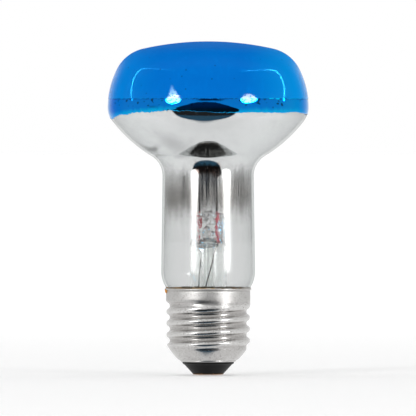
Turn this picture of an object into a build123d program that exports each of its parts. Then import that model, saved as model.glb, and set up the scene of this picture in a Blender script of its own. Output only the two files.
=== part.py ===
from build123d import *
import os
from math import acos, atan2, cos, degrees, hypot, radians, sin, sqrt

# Reflector lamp with a lacquered front and a screw cap, in millimetres.
# The origin is the tip of the centre contact, +Z runs along the axis to the front,
# and -Y is the side seen head on.

# Contact end of the cap
contact_flat_diameter = 2.0
contact_solder_diameter = 3.4
contact_solder_height = 0.25
contact_plate_diameter = 9.8
contact_plate_thickness = 0.3
contact_hole_diameter = 1.8
insulator_base_diameter = 10.2
insulator_top_diameter = 16.2
insulator_height = 3.7
insulator_hole_diameter = 2.2
insulator_plug_height = 2.8

# Screw shell
shell_wall = 0.3
lip_diameter = 17.5
lip_width = 1.3
cone_height = 4.6
thread_diameter = 26.3
thread_pitch = 3.63
thread_depth = 1.1
thread_length = 13.8
thread_start_height = 0.1
thread_start_angle = 165.0
thread_root_flat = 0.06
thread_run_in = 1.0
skirt_diameter = 26.5
skirt_height = 4.15
rim_diameter = 27.2
rim_height = 0.6

# Blown bulb
bulb_diameter = 63.0
body_height = 56.7
front_height = 20.7
crown_radius = 93.0
shoulder_radius = 12.2
side_radius = 26.5
underside_radius = 7.1
underside_turn = 38.0
flank_radius = 46.0
neck_diameter = 28.7
neck_fillet_radius = 7.2
neck_base_diameter = 29.5
neck_base_radius = 9.2
neck_tuck_radius = 3.0
neck_end_diameter = 22.0
neck_end_length = 2.3
glass_wall = 0.7

# Coats on the bulb
coat_gap = 0.01
lacquer_thickness = 0.1
lacquer_drop = 2.9
lacquer_tilt = 1.0
mirror_thickness = 0.1
mirror_rise = 2.4
mirror_fade_height = 25.5

# Stem
stem_turn = 35.0
stem_tube_diameter = 11.6
stem_tube_wall = 1.0
stem_flare_radius = 3.5
stem_tube_length = 18.0
press_width = 11.0
press_thickness = 6.0
press_corner_radius = 2.0
press_taper_height = 3.4
press_height = 8.2
press_hole_diameter = 3.6
press_hole_height = 5.2
exhaust_diameter = 4.6
exhaust_wall = 0.8
exhaust_socket = 1.8
exhaust_length = 31.5
rod_diameter = 2.2
rod_length = 16.0
button_diameter = 4.4

# Wires and filament
lead_spacing = 6.6
outer_lead_diameter = 0.4
outer_lead_bend = 0.5
lead_slack_drop = 1.3
contact_lead_slack_angle = -53.0
contact_lead_angle = -102.0
side_lead_slack_angle = 122.0
side_lead_rim_angle = 154.0
side_lead_angle = 190.0
side_lead_drop = 2.0
side_lead_end_depth = 1.1
seal_wire_diameter = 0.45
seal_wire_overhang = 0.4
inner_lead_diameter = 0.6
inner_lead_bend = 2.0
inner_lead_straight = 4.0
crimp_diameter = 1.3
crimp_length = 2.0
crimp_clearance = 0.1
support_wire_diameter = 0.3
support_loop_clearance = 0.15
support_count = 3
filament_diameter = 0.6
filament_ring_diameter = 16.0
filament_height = 52.6
filament_opening = 100.0

# Fits
seal_gap = 0.02
rim_gap = 0.15
cement_depth = 3.4
cement_bead = 0.25
side_solder_diameter = 1.5
side_solder_drop = 0.9

# Heights of the cap, stacked from the contact
z_plate = contact_solder_height
z_insulator = z_plate + contact_plate_thickness
z_lip = z_insulator + insulator_height
z_cone = z_lip + cone_height
z_skirt = z_cone + thread_length
z_rim = z_skirt + skirt_height + rim_height
z_flare = z_rim - rim_height

# Radii of the shell
crest_radius = thread_diameter / 2
core_radius = crest_radius - thread_depth + thread_root_flat
skirt_radius = skirt_diameter / 2
rim_radius = rim_diameter / 2
lip_radius = lip_diameter / 2
cone_slope = (core_radius - lip_radius) / cone_height
cone_wall = shell_wall * hypot(1, cone_slope)
rim_slope = (rim_radius - skirt_radius) / rim_height
rim_wall = shell_wall * hypot(1, rim_slope)

# Heights of the bulb, stacked from the rim
z_equator = z_rim + body_height
z_front = z_equator + front_height

# Crown, shoulder and side of the front: three arcs that run into each other
bulb_radius = bulb_diameter / 2
crown_z = z_front - crown_radius
side_r = bulb_radius - side_radius
crown_reach = crown_radius - shoulder_radius
side_reach = side_radius - shoulder_radius
centre_gap = hypot(side_r, z_equator - crown_z)
centre_lean = atan2(side_r, z_equator - crown_z)
crown_corner = acos((crown_reach**2 + centre_gap**2 - side_reach**2) / (2 * crown_reach * centre_gap))
crown_turn = centre_lean + crown_corner
shoulder_r = crown_reach * sin(crown_turn)
shoulder_z = crown_z + crown_reach * cos(crown_turn)
side_start = atan2(shoulder_r - side_r, shoulder_z - z_equator)

# Underside, flank and neck fillet: three more
flank_offset = flank_radius - underside_radius
flank_r = bulb_radius - underside_radius - flank_offset * cos(radians(underside_turn))
flank_z = z_equator + flank_offset * sin(radians(underside_turn))
fillet_r = neck_diameter / 2 + neck_fillet_radius
flank_end = acos((fillet_r - flank_r) / (flank_radius + neck_fillet_radius))
fillet_z = flank_z - (flank_radius + neck_fillet_radius) * sin(flank_end)

# Base of the neck, rounded so that it enters the rim with its own gap
base_r = neck_base_diameter / 2 - neck_base_radius
entry_radius = rim_radius - shell_wall - rim_gap
base_z = z_rim + sqrt(neck_base_radius**2 - (entry_radius - base_r) ** 2)
neck_reach = neck_fillet_radius + neck_base_radius
neck_gap = hypot(base_r - fillet_r, base_z - fillet_z)
neck_taper = atan2(base_z - fillet_z, base_r - fillet_r) + acos(-neck_reach / neck_gap)
neck_run = sqrt(neck_gap**2 - neck_reach**2)
neck_end_radius = neck_end_diameter / 2
tuck_turn = acos((neck_end_radius + neck_tuck_radius - base_r) / (neck_base_radius + neck_tuck_radius))
z_seal = base_z - (neck_base_radius + neck_tuck_radius) * sin(tuck_turn) - neck_end_length

# Stem heights, stacked from the seal
z_taper = z_seal + stem_tube_length
z_press = z_taper + press_taper_height
z_press_top = z_press + press_height
z_socket = z_press + exhaust_socket
z_exhaust = z_socket - exhaust_length
z_button = z_press_top + rod_length
z_filament = z_rim + filament_height
stem_plane = Plane.XY.rotated((0, 0, -stem_turn))
lead_offset = lead_spacing / 2
filament_ring_radius = filament_ring_diameter / 2
filament_sweep = 360 - filament_opening
lead_ends = (90 - filament_opening / 2, 90 + filament_opening / 2)
z_wire_low = z_press - stem_tube_wall - seal_wire_overhang
z_wire_high = z_press_top + seal_wire_overhang

# The outer leads run down between the exhaust tube and the stem tube
lead_radius = (exhaust_diameter + stem_tube_diameter - 2 * stem_tube_wall) / 4


def bulb_outline(offset):
    """Draws half the bulb's section, moved outwards by offset, and returns its two ends."""
    crown = JernArc((0, z_front + offset), (1, 0), crown_radius + offset, -degrees(crown_turn))
    shoulder_turn = degrees(side_start - crown_turn)
    shoulder = JernArc(crown @ 1, crown % 1, shoulder_radius + offset, -shoulder_turn)
    side = JernArc(shoulder @ 1, shoulder % 1, side_radius + offset, degrees(side_start) - 90)
    underside = JernArc(side @ 1, side % 1, underside_radius + offset, -underside_turn)
    flank_turn = degrees(flank_end) - underside_turn
    flank = JernArc(underside @ 1, underside % 1, flank_radius + offset, -flank_turn)
    fillet_turn = degrees(flank_end + neck_taper)
    fillet = JernArc(flank @ 1, flank % 1, neck_fillet_radius - offset, fillet_turn)
    neck = Line(fillet @ 1, fillet @ 1 + (fillet % 1) * neck_run)
    base_turn = degrees(tuck_turn + neck_taper)
    base = JernArc(neck @ 1, neck % 1, neck_base_radius + offset, -base_turn)
    tuck = JernArc(base @ 1, base % 1, neck_tuck_radius - offset, degrees(tuck_turn))
    end = Line(tuck @ 1, tuck @ 1 - Vector(0, neck_end_length))
    return crown @ 0, end @ 1


def bulb_layer(outer, inner):
    """Fills the section between two outlines of the bulb."""
    with BuildLine() as edge:
        outer_top, outer_end = bulb_outline(outer)
        inner_top, inner_end = bulb_outline(inner)
        Line(outer_top, inner_top)
        Line(outer_end, inner_end)
    make_face(edge.edges())


def straight_section(*corners):
    """Fills a straight-sided section."""
    with BuildLine() as edge:
        Polyline(*corners, close=True)
    make_face(edge.edges())


def wire_along(corners, bend, diameter, mode=Mode.ADD):
    """Runs a round wire through the corners, with each bend rounded."""
    with BuildLine() as run:
        FilletPolyline(*corners, radius=bend)
    with BuildSketch(Plane(origin=run.line @ 0, z_dir=run.line % 0)) as section:
        Circle(diameter / 2)
    sweep(section.sketch, path=run.line, mode=mode)


def in_stem(across, through, z):
    """Gives the point at a place across and through the press, at height z."""
    return stem_plane.from_local_coords(Vector(across, through, z))


def ring_point(angle, z, radius=filament_ring_radius):
    """Gives the point on a ring round the stem's axis, at an angle from the press's width."""
    return in_stem(radius * cos(radians(angle)), radius * sin(radians(angle)), z)


def lead_point(angle, z, radius=lead_radius):
    """Gives the point at an angle round the lamp's axis, at height z."""
    return Vector(radius * cos(radians(angle)), radius * sin(radians(angle)), z)


def thread_ridge(inset, mode):
    """Winds one thread ridge round the core, its face moved inwards by inset."""
    # The standard section is two equal arcs, crest and root: flats between points on them stand for it
    arc_radius = ((thread_pitch / 2) ** 2 + thread_depth**2) / (4 * thread_depth)
    join_turn = acos((arc_radius - thread_depth / 2) / arc_radius)
    foot_turn = acos((arc_radius - thread_root_flat / 3) / arc_radius)
    crest_x = crest_radius - arc_radius - core_radius
    root_x = crest_radius - thread_depth + arc_radius - core_radius
    root = arc_radius + inset
    foot = (root_x - root * cos(foot_turn), thread_pitch / 2 - root * sin(foot_turn))
    upper = [(-inset - shell_wall / 2, foot[1]), foot]
    for share in (1, 0.6, 0.2):
        turn = join_turn * share
        upper.append((crest_x + (arc_radius - inset) * cos(turn), (arc_radius - inset) * sin(turn)))
    lower = [(x, -y) for x, y in reversed(upper)]
    z_start = z_cone + thread_start_height
    height = z_skirt + thread_run_in - z_start
    run = Helix(thread_pitch, height, core_radius, (0, 0, z_start), mode=Mode.PRIVATE)
    run = run.rotate(Axis.Z, thread_start_angle)
    outward = Vector(1, 0, 0).rotate(Axis.Z, thread_start_angle)
    with BuildSketch(Plane(origin=run @ 0, x_dir=outward, z_dir=run % 0)) as section:
        straight_section(*upper, *lower)
    sweep(section.sketch, path=run, is_frenet=True, mode=mode)


# The side lead turns out below the stem's flange and up between the neck and the shell
z_side_turn = z_seal - stem_tube_wall - side_lead_drop
neck_side_radius = (neck_end_radius + core_radius - shell_wall) / 2
z_side_end = z_rim - side_lead_end_depth
side_end_radius = skirt_radius - shell_wall - outer_lead_diameter / 2 - 2 * seal_gap
side_lead_corners = (
    in_stem(-lead_offset, 0, z_wire_low),
    lead_point(side_lead_slack_angle, z_wire_low - lead_slack_drop),
    lead_point(side_lead_rim_angle, z_rim),
    lead_point(side_lead_angle, z_seal),
    lead_point(side_lead_angle, z_side_turn),
    lead_point(side_lead_angle, z_side_turn, neck_side_radius),
    lead_point(side_lead_angle, z_skirt, neck_side_radius),
    lead_point(side_lead_angle, z_skirt + skirt_height / 2, side_end_radius),
    lead_point(side_lead_angle, z_side_end, side_end_radius),
)

with BuildPart() as screw_shell:
    with BuildSketch(Plane.XZ):
        with BuildLine():
            Polyline(
                (lip_radius - lip_width, z_lip),
                (lip_radius, z_lip),
                (core_radius, z_cone),
                (core_radius, z_skirt),
                (skirt_radius, z_skirt + skirt_radius - core_radius),
                (skirt_radius, z_flare),
                (rim_radius, z_rim),
            )
            offset(amount=shell_wall, side=Side.LEFT, kind=Kind.INTERSECTION)
        make_face()
    revolve(axis=Axis.Z)
    thread_ridge(0, Mode.ADD)
    thread_ridge(shell_wall, Mode.SUBTRACT)

with BuildPart() as insulator:
    plug_z = z_lip + shell_wall + seal_gap
    plug_top = z_lip + insulator_plug_height
    lip_hole = lip_radius - lip_width - seal_gap
    plug_wall = cone_wall + seal_gap
    with BuildSketch(Plane.XZ):
        straight_section(
            (insulator_hole_diameter / 2, z_insulator),
            (insulator_base_diameter / 2, z_insulator),
            (insulator_top_diameter / 2, z_lip - seal_gap),
            (lip_hole, z_lip - seal_gap),
            (lip_hole, plug_z),
            (lip_radius + cone_slope * (plug_z - z_lip) - plug_wall, plug_z),
            (lip_radius + cone_slope * (plug_top - z_lip) - plug_wall, plug_top),
            (insulator_hole_diameter / 2, plug_top),
        )
    revolve(axis=Axis.Z)

with BuildPart() as contact_plate:
    with BuildSketch(Plane.XY.offset(z_plate)):
        Circle(contact_plate_diameter / 2)
        Circle(contact_hole_diameter / 2, mode=Mode.SUBTRACT)
    extrude(amount=contact_plate_thickness)

with BuildPart() as contact_solder:
    with BuildSketch(Plane.XZ):
        plug_radius = contact_hole_diameter / 2 - seal_gap
        with BuildLine():
            flat = Line((0, 0), (contact_flat_diameter / 2, 0))
            dome = TangentArc(flat @ 1, (contact_solder_diameter / 2, z_plate), tangent=(1, 0))
            Polyline(dome @ 1, (plug_radius, z_plate), (plug_radius, z_insulator), (0, z_insulator), (0, 0))
        make_face()
    revolve(axis=Axis.Z)

with BuildPart() as bulb_glass:
    with BuildSketch(Plane.XZ):
        bulb_layer(0, -glass_wall)
    revolve(axis=Axis.Z)

with BuildPart() as blue_lacquer:
    with BuildSketch(Plane.XZ):
        bulb_layer(coat_gap + lacquer_thickness, coat_gap)
    revolve(axis=Axis.Z)
    lean = radians(lacquer_tilt)
    edge_plane = Plane(origin=(0, 0, z_equator - lacquer_drop), z_dir=(-sin(lean), 0, cos(lean)))
    split(bisect_by=edge_plane, keep=Keep.TOP)

with BuildPart() as mirror_film:
    film_outer = -glass_wall - coat_gap
    with BuildSketch(Plane.XZ):
        bulb_layer(film_outer, film_outer - mirror_thickness)
    revolve(axis=Axis.Z)
    split(bisect_by=Plane.XY.offset(z_equator + mirror_rise), keep=Keep.BOTTOM)
    split(bisect_by=Plane.XY.offset(z_rim + mirror_fade_height), keep=Keep.TOP)

with BuildPart() as stem:
    tube_radius = stem_tube_diameter / 2
    bore_radius = tube_radius - stem_tube_wall
    flare_z = z_seal + stem_flare_radius
    with BuildSketch(Plane.XZ):
        with BuildLine():
            outer = Line((tube_radius, z_taper), (tube_radius, flare_z))
            sweep_out = JernArc(outer @ 1, (0, -1), stem_flare_radius, 90)
            flange = Polyline(
                sweep_out @ 1,
                (neck_end_radius, z_seal),
                (neck_end_radius, z_seal - stem_tube_wall),
                (sweep_out @ 1) - Vector(0, stem_tube_wall),
            )
            sweep_in = JernArc(flange @ 1, (-1, 0), stem_flare_radius + stem_tube_wall, -90)
            Polyline(sweep_in @ 1, (bore_radius, z_taper), outer @ 0)
        make_face()
    revolve(axis=Axis.Z)
    with BuildSketch(Plane.XY.offset(z_taper)):
        Circle(tube_radius)
    with BuildSketch(stem_plane.offset(z_press)):
        RectangleRounded(press_width, press_thickness, press_corner_radius)
    loft()
    with BuildSketch(stem_plane.offset(z_press)):
        RectangleRounded(press_width, press_thickness, press_corner_radius)
    extrude(amount=press_height)
    cavity_z = z_press - stem_tube_wall
    with BuildSketch(Plane.XY.offset(z_taper)):
        Circle(bore_radius)
    with BuildSketch(stem_plane.offset(cavity_z)):
        cavity_width = press_width - 2 * stem_tube_wall
        cavity_thickness = press_thickness - 2 * stem_tube_wall
        RectangleRounded(cavity_width, cavity_thickness, press_corner_radius - stem_tube_wall / 2)
    loft(mode=Mode.SUBTRACT)
    with BuildSketch(Plane.XY.offset(z_taper)):
        Circle(exhaust_diameter / 2 + seal_gap)
    extrude(amount=z_socket - z_taper, mode=Mode.SUBTRACT)
    with BuildSketch(Plane.XY.offset(z_socket)):
        Circle(exhaust_diameter / 2 - exhaust_wall)
    extrude(amount=press_hole_height - exhaust_socket, mode=Mode.SUBTRACT)
    hole_centre = (0, 0, z_press + press_hole_height)
    with BuildSketch(Plane(origin=hole_centre, x_dir=stem_plane.x_dir, z_dir=-stem_plane.y_dir)):
        Circle(press_hole_diameter / 2)
    extrude(amount=press_thickness, mode=Mode.SUBTRACT)
    with BuildSketch(stem_plane.offset(z_taper)):
        with GridLocations(lead_spacing, 0, 2, 1):
            Circle(seal_wire_diameter / 2 + seal_gap)
    extrude(amount=z_press_top - z_taper, mode=Mode.SUBTRACT)

with BuildPart() as exhaust_tube:
    exhaust_radius = exhaust_diameter / 2
    exhaust_bore = exhaust_radius - exhaust_wall
    with BuildSketch(Plane.XZ):
        with BuildLine():
            tip = JernArc((0, z_exhaust), (1, 0), exhaust_radius, 90)
            outer = Line(tip @ 1, (exhaust_radius, z_socket))
            inner = Line((exhaust_bore, z_socket), (exhaust_bore, (tip @ 1).Y))
            Line(outer @ 1, inner @ 0)
            cup = JernArc(inner @ 1, (0, -1), exhaust_bore, -90)
            Line(cup @ 1, tip @ 0)
        make_face()
    revolve(axis=Axis.Z)

with BuildPart() as support_rod:
    with BuildSketch(Plane.XY.offset(z_press_top)):
        Circle(rod_diameter / 2)
    extrude(amount=rod_length)
    with Locations((0, 0, z_button)):
        Sphere(button_diameter / 2)

seal_wires = []
inner_leads = []
for side, end_angle in ((1, lead_ends[0]), (-1, lead_ends[1])):
    with BuildPart() as seal_wire:
        with BuildSketch(stem_plane.offset(z_wire_low)):
            with Locations((side * lead_offset, 0)):
                Circle(seal_wire_diameter / 2)
        extrude(amount=z_wire_high - z_wire_low)
    seal_wires.append(seal_wire)
    with BuildPart() as inner_lead:
        foot = in_stem(side * lead_offset, 0, z_wire_high)
        knee = foot + Vector(0, 0, inner_lead_straight)
        head = ring_point(end_angle, z_filament)
        along = ring_point(end_angle + 90, 0).normalized()
        wire_along((foot, knee, head), inner_lead_bend, inner_lead_diameter)
        with BuildSketch(Plane(origin=head, z_dir=along)):
            Circle(crimp_diameter / 2)
        extrude(amount=crimp_length / 2, both=True)
        with BuildSketch(Plane(origin=head, z_dir=along)):
            Circle(filament_diameter / 2 + crimp_clearance)
        extrude(amount=crimp_length, both=True, mode=Mode.SUBTRACT)
    inner_leads.append(inner_lead)

with BuildPart() as filament:
    with BuildLine(stem_plane.offset(z_filament)) as coil:
        CenterArc((0, 0), filament_ring_radius, lead_ends[1], filament_sweep)
    with BuildSketch(Plane(origin=coil.line @ 0, z_dir=coil.line % 0)):
        Circle(filament_diameter / 2)
    sweep(path=coil.line)

support_wires = []
for number in range(support_count):
    with BuildPart() as support_wire:
        angle = lead_ends[1] + filament_sweep * (number + 1) / (support_count + 1)
        loop_centre = ring_point(angle, z_filament)
        loop_radius = (filament_diameter + support_wire_diameter) / 2 + support_loop_clearance
        heart = Vector(0, 0, z_button)
        toward = (loop_centre - heart).normalized()
        start = heart + toward * (button_diameter / 2 + seal_gap)
        length = (loop_centre - start).length - loop_radius
        with BuildSketch(Plane(origin=start, z_dir=toward)):
            Circle(support_wire_diameter / 2)
        extrude(amount=length)
        with Locations(Plane(origin=loop_centre, z_dir=ring_point(angle + 90, 0))):
            Torus(loop_radius, support_wire_diameter / 2)
    support_wires.append(support_wire)

with BuildPart() as outer_lead_contact:
    wire_along(
        (
            in_stem(lead_offset, 0, z_wire_low),
            lead_point(contact_lead_slack_angle, z_wire_low - lead_slack_drop),
            lead_point(contact_lead_angle, z_rim),
            lead_point(contact_lead_angle, z_exhaust),
            (0, 0, z_lip + insulator_plug_height + lead_slack_drop),
            (0, 0, z_insulator + seal_gap),
        ),
        outer_lead_bend,
        outer_lead_diameter,
    )

with BuildPart() as outer_lead_side:
    wire_along(side_lead_corners, outer_lead_bend, outer_lead_diameter)

with BuildPart() as cap_cement:
    cement_wall = shell_wall + seal_gap
    with BuildSketch(Plane.XZ):
        straight_section(
            (neck_end_radius, z_rim - cement_depth),
            (skirt_radius - cement_wall, z_rim - cement_depth),
            (skirt_radius - cement_wall, z_flare + (rim_wall - shell_wall) / rim_slope),
            (rim_radius - rim_wall - seal_gap, z_rim),
            (rim_radius - rim_wall - seal_gap, z_rim + cement_bead),
            (neck_end_radius, z_rim + cement_bead),
        )
    revolve(axis=Axis.Z)
    with BuildSketch(Plane.XZ):
        with BuildLine():
            pole, end = bulb_outline(seal_gap)
            Polyline(pole, (0, end.Y), end)
        make_face()
    revolve(axis=Axis.Z, mode=Mode.SUBTRACT)
    wire_along(side_lead_corners, outer_lead_bend, outer_lead_diameter + 2 * seal_gap, Mode.SUBTRACT)

with BuildPart() as side_solder:
    with PolarLocations(skirt_radius, 1, side_lead_angle):
        with Locations((0, 0, z_rim - side_solder_drop)):
            Sphere(side_solder_diameter / 2)
    with BuildSketch(Plane.XZ):
        straight_section(
            (0, z_skirt),
            (skirt_radius + seal_gap, z_skirt),
            (skirt_radius + seal_gap, z_flare),
            (rim_radius + seal_gap, z_rim),
            (rim_radius + seal_gap, z_rim + side_solder_diameter),
            (0, z_rim + side_solder_diameter),
        )
    revolve(axis=Axis.Z, mode=Mode.SUBTRACT)

pieces = {
    "bulb_glass": bulb_glass,
    "blue_lacquer": blue_lacquer,
    "mirror_film": mirror_film,
    "screw_shell": screw_shell,
    "insulator": insulator,
    "contact_plate": contact_plate,
    "contact_solder": contact_solder,
    "side_solder": side_solder,
    "cap_cement": cap_cement,
    "stem": stem,
    "exhaust_tube": exhaust_tube,
    "support_rod": support_rod,
    "seal_wire_contact": seal_wires[0],
    "seal_wire_side": seal_wires[1],
    "inner_lead_contact": inner_leads[0],
    "inner_lead_side": inner_leads[1],
    "outer_lead_contact": outer_lead_contact,
    "outer_lead_side": outer_lead_side,
    "filament": filament,
}
for number, support_wire in enumerate(support_wires, 1):
    pieces[f"support_wire_{number}"] = support_wire

os.makedirs("parts", exist_ok=True)
for name, piece in pieces.items():
    piece.part.label = name
    export_step(piece.part, f"parts/{name}.step")
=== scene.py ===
from math import acos, atan2, ceil, copysign, cos, hypot, pi, radians, sin, sqrt, tan

import bpy
import numpy as np
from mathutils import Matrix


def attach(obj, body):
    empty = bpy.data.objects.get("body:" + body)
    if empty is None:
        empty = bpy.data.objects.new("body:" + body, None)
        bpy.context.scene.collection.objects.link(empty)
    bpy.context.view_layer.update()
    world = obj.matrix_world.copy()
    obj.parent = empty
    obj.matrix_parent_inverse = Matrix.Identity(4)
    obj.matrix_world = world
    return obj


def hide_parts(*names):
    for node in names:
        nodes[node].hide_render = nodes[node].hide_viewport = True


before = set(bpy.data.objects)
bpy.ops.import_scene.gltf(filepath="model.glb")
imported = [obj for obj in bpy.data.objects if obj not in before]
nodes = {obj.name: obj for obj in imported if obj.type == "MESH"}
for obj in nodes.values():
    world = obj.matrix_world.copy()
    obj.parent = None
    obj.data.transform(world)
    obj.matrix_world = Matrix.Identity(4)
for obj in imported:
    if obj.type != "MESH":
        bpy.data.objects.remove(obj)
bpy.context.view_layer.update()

MM = 0.001
TURN = 2 * pi
UP = np.array((0.0, 0.0, 1.0))

# Sizes in millimetres and angles in radians, as in the part's source
z_insulator, z_lip, z_cone, z_skirt, z_rim = 0.55, 4.25, 8.85, 22.65, 27.4
shell_wall, lip_radius, lip_width = 0.3, 8.75, 1.3
thread_pitch, thread_depth, crest_radius = 3.63, 1.1, 13.15
thread_start, thread_start_angle = 8.95, radians(165)
skirt_radius, rim_radius = 13.25, 13.6
bulb_radius, crown_radius, shoulder_radius, side_radius = 31.5, 93.0, 12.2, 26.5
underside_radius, underside_turn, flank_radius = 7.1, radians(38), 46.0
neck_radius, neck_fillet_radius = 14.35, 7.2
neck_base_outer, neck_base_radius, neck_tuck_radius = 14.75, 9.2, 3.0
neck_end_radius, neck_end_length, neck_play = 11.0, 2.3, 0.15
glass_wall, coat_gap, coat_thickness = 0.7, 0.01, 0.1
z_equator, z_front = z_rim + 56.7, z_rim + 77.4
lacquer_drop, lacquer_tilt = 2.9, radians(1)
stem_turn = radians(35)
z_seal, z_taper, z_press, z_press_top = 21.485, 39.485, 42.885, 51.085
z_button, z_filament = 67.085, 80.0

# Sizes of the finer meshes in millimetres, and one angle in degrees
root_radius = crest_radius - thread_depth
cone_widening, cone_swell = 0.48, 0.28
z_film_top, z_film_fade = z_equator + 2.65, 41.5
lacquer_drop_seen = 1.65
side_lead_angle = 190.0
tube_outer, tube_inner, flare_bend, flare_radius = 5.8, 4.8, 3.5, 9.3
press_wide, press_deep, press_edge, z_dent = 5.5, 3.0, 1.1, 48.0
exhaust_outer, exhaust_bore, z_exhaust = 2.3, 1.5, 13.185
rod_radius, button_radius = 1.1, 2.2
lead_radius, filament_radius, coil_radius, horseshoe_radius = 0.18, 0.04, 0.26, 8.0


# Outlines
def walk(start, heading, moves, spacing):
    """Points of a line that runs on through straights (None, length) and arcs (radius, turn)."""
    widest_step = 0.12
    r, z = start
    points = [(r, z)]
    for radius, amount in moves:
        if radius is None:
            count = max(1, ceil(amount / spacing))
            for k in range(1, count + 1):
                reach = amount * k / count
                points.append((r + cos(heading) * reach, z + sin(heading) * reach))
        else:
            bend = copysign(radius, amount)
            centre_r = r - bend * sin(heading)
            centre_z = z + bend * cos(heading)
            count = max(2, ceil(abs(amount) * radius / spacing), ceil(abs(amount) / widest_step))
            for k in range(1, count + 1):
                h = heading + amount * k / count
                points.append((centre_r + bend * sin(h), centre_z - bend * cos(h)))
            heading += amount
        r, z = points[-1]
    return np.array(points)


def bulb_line(offset, spacing):
    """The bulb's outline from the front pole to the sealed end, moved outwards by offset."""
    crown_z = z_front - crown_radius
    side_r = bulb_radius - side_radius
    crown_reach = crown_radius - shoulder_radius
    side_reach = side_radius - shoulder_radius
    gap = hypot(side_r, z_equator - crown_z)
    lean = atan2(side_r, z_equator - crown_z)
    corner = acos((crown_reach**2 + gap**2 - side_reach**2) / (2 * crown_reach * gap))
    crown_turn = lean + corner
    shoulder_r = crown_reach * sin(crown_turn)
    shoulder_z = crown_z + crown_reach * cos(crown_turn)
    side_start = atan2(shoulder_r - side_r, shoulder_z - z_equator)
    flank_offset = flank_radius - underside_radius
    flank_r = bulb_radius - underside_radius - flank_offset * cos(underside_turn)
    flank_z = z_equator + flank_offset * sin(underside_turn)
    fillet_r = neck_radius + neck_fillet_radius
    flank_end = acos((fillet_r - flank_r) / (flank_radius + neck_fillet_radius))
    fillet_z = flank_z - (flank_radius + neck_fillet_radius) * sin(flank_end)
    base_r = neck_base_outer - neck_base_radius
    entry = rim_radius - shell_wall - neck_play
    base_z = z_rim + sqrt(neck_base_radius**2 - (entry - base_r) ** 2)
    neck_reach = neck_fillet_radius + neck_base_radius
    neck_gap = hypot(base_r - fillet_r, base_z - fillet_z)
    neck_taper = atan2(base_z - fillet_z, base_r - fillet_r) + acos(-neck_reach / neck_gap)
    neck_run = sqrt(neck_gap**2 - neck_reach**2)
    tuck = acos((neck_end_radius + neck_tuck_radius - base_r) / (neck_base_radius + neck_tuck_radius))
    moves = (
        (crown_radius + offset, -crown_turn),
        (shoulder_radius + offset, crown_turn - side_start),
        (side_radius + offset, side_start - pi / 2),
        (underside_radius + offset, -underside_turn),
        (flank_radius + offset, underside_turn - flank_end),
        (neck_fillet_radius - offset, flank_end + neck_taper),
        (None, neck_run),
        (neck_base_radius + offset, -(tuck + neck_taper)),
        (neck_tuck_radius - offset, tuck),
        (None, neck_end_length),
    )
    points = walk((0, z_front + offset), 0, moves, spacing)
    points[0, 0] = 0
    return points


def arc(centre_r, centre_z, radius, degrees):
    """Points of a round corner. 0 degrees is its lowest point, and 90 its outermost."""
    turn = np.radians(degrees)
    return list(zip(centre_r + radius * np.sin(turn), centre_z - radius * np.cos(turn)))


def turns(segments):
    """Angles spaced evenly round the axis."""
    return np.arange(segments) * TURN / segments


def from_front(angle):
    """Degrees round the axis from the -Y side, positive towards +X."""
    return np.degrees((angle + pi / 2 + pi) % TURN - pi)


def waves(angle, seed, lowest, highest, fall):
    """A ragged line round the axis with a spread of about 1: sines of whole numbers of waves."""
    draw = np.random.RandomState(seed)
    total = np.zeros_like(angle)
    power = 0.0
    for n in range(lowest, highest + 1):
        size = n**-fall
        total = total + size * np.cos(n * angle + draw.uniform(0, TURN))
        power += size * size / 2
    return total / sqrt(power)


def lumps(points, size, seed):
    """An uneven skin with a spread of about 1: sines in many directions."""
    draw = np.random.RandomState(seed)
    count = 16
    total = np.zeros(len(points))
    for k in range(count):
        way = draw.normal(size=3)
        way *= TURN / (size * draw.uniform(0.7, 1.4) * np.linalg.norm(way))
        total += np.sin(points @ way + draw.uniform(0, TURN))
    return total * sqrt(2 / count)


def smooth(value, low, high):
    """0 below low, 1 above high, and an even curve between."""
    t = np.clip((value - low) / (high - low), 0, 1)
    return t * t * (3 - 2 * t)


def hump(value, middle, width):
    """1 at the middle, falling to nothing on both sides."""
    return np.exp(-(((value - middle) / width) ** 2))


def between(start, end, share):
    return start + (end - start) * share


# Meshes
def placed(name, data):
    """A new object in the scene."""
    made = bpy.data.objects.new(name, data)
    bpy.context.scene.collection.objects.link(made)
    return made


def mesh_piece(name, form, finish, slot, *replaced, sharp=None):
    """A mesh object in millimetres that rides on the one body and stands for the nodes named."""
    points, faces = form
    mesh = bpy.data.meshes.new(name)
    mesh.from_pydata((np.asarray(points) * MM).tolist(), [], faces)
    mesh.polygons.foreach_set("use_smooth", [True] * len(mesh.polygons))
    if sharp is not None:
        mesh.set_sharp_from_angle(angle=radians(sharp))
    mesh.validate()
    mesh.materials.append(finish)
    piece = placed(name, mesh)
    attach(piece, "root")
    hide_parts(*replaced)


def skin(rows, loop=False):
    """Joins rows of points round an axis into a closed skin. A row of one point is a pole."""
    points = []
    starts = []
    for row in rows:
        starts.append(len(points))
        points.extend(row)
    faces = []
    pairs = list(zip(range(len(rows) - 1), range(1, len(rows))))
    if loop:
        pairs.append((len(rows) - 1, 0))
    for i, j in pairs:
        a, b = starts[i], starts[j]
        na, nb = len(rows[i]), len(rows[j])
        count = max(na, nb)
        for k in range(count):
            n = (k + 1) % count
            if na == 1:
                faces.append((a, b + k, b + n))
            elif nb == 1:
                faces.append((a + k, b, a + n))
            else:
                faces.append((a + k, b + k, b + n, a + n))
    return points, faces


def pole(z):
    """A row of one point, on the axis."""
    return np.array([[0.0, 0.0, z]])


def ring(radius, z, segments):
    """A row of points round the axis. radius and z may vary round it."""
    angle = turns(segments)
    row = np.empty((segments, 3))
    row[:, 0] = radius * np.cos(angle)
    row[:, 1] = radius * np.sin(angle)
    row[:, 2] = z
    return row


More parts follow.
